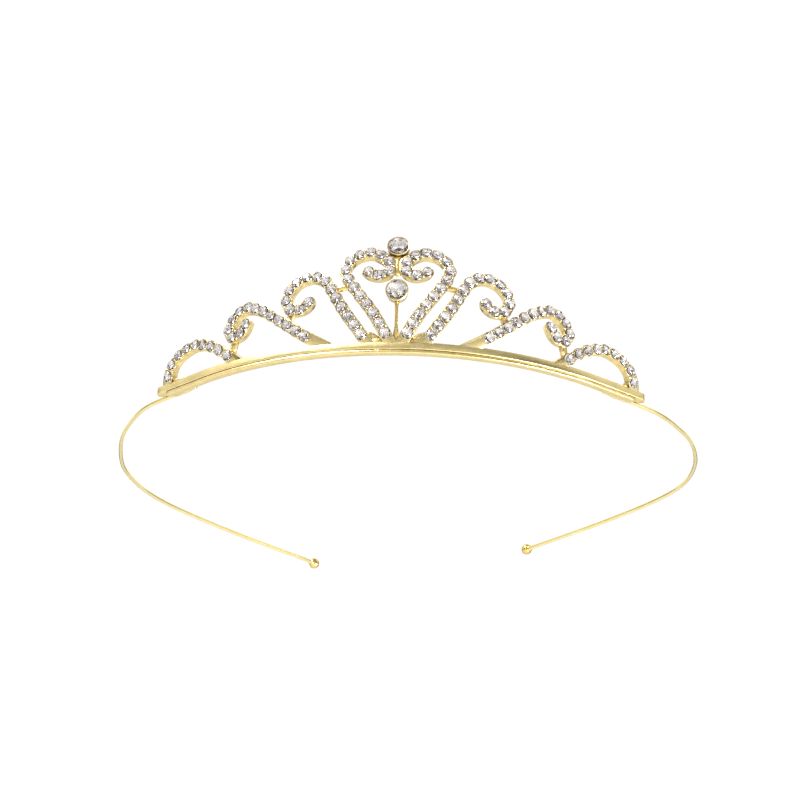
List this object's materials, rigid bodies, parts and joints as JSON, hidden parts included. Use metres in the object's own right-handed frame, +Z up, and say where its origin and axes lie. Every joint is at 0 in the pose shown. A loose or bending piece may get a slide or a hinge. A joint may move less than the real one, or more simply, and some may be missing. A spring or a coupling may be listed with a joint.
{
  "type": "tiara",
  "caption": "Slim gilt tiara: stone-set scrolls rise from a curved bar whose ends carry a springy open wire headband with ball tips.",
  "frame": {"origin": "under the middle of the whole part, at the height of the flat rail's underside and the lowest points of the two end balls", "axes": "+Z up towards the crown's tip, -Y towards the front face of the crown, +X to the right when seen from the front"},
  "size_m": [0.1428, 0.1394, 0.0283],
  "materials": {
    "gilt": "polished gilt casting",
    "gilt_bar": "satin gilt strip",
    "gilt_wire": "drawn gilt wire",
    "solder": "gilt over soft solder",
    "crystal": "faceted foil-backed crystal"
  },
  "bodies": {
    "crown": {"headband_rail": "gilt", "base_bar": "gilt_bar", "stem": "gilt", "pendant_bezel": "gilt", "pendant_stone": "crystal", "top_bezel": "gilt", "top_stone": "crystal", "top_post": "gilt", "curl_bridge": "solder", "left_heart_scroll": "gilt", "left_heart_stones": "crystal", "left_inner_scroll": "gilt", "left_inner_stones": "crystal", "left_middle_scroll": "gilt", "left_middle_stones": "crystal", "left_outer_scroll": "gilt", "left_outer_stones": "crystal", "left_heart_bridge": "solder", "left_arch_bridge": "solder", "left_foot_web": "solder", "left_curl_solder": "solder", "left_wire_root": "solder", "right_heart_scroll": "gilt", "right_heart_stones": "crystal", "right_inner_scroll": "gilt", "right_inner_stones": "crystal", "right_middle_scroll": "gilt", "right_middle_stones": "crystal", "right_outer_scroll": "gilt", "right_outer_stones": "crystal", "right_heart_bridge": "solder", "right_arch_bridge": "solder", "right_foot_web": "solder", "right_curl_solder": "solder", "right_wire_root": "solder"},
    "left_arm": {"left_wire_arm": "gilt_wire", "left_end_ball": "gilt_wire"},
    "right_arm": {"right_wire_arm": "gilt_wire", "right_end_ball": "gilt_wire"}
  },
  "joints": [
    {"name": "left_arm_flex", "type": "hinge", "parent": "crown", "child": "left_arm", "pos_m": [-0.05176, -0.04062, 0.001], "axis": [0, 0, 1], "range_deg": [-3, 5], "stiffness_Nm_per_rad": 0.3},
    {"name": "right_arm_flex", "type": "hinge", "parent": "crown", "child": "right_arm", "pos_m": [0.05176, -0.04062, 0.001], "axis": [0, 0, -1], "range_deg": [-3, 5], "stiffness_Nm_per_rad": 0.3}
  ]
}
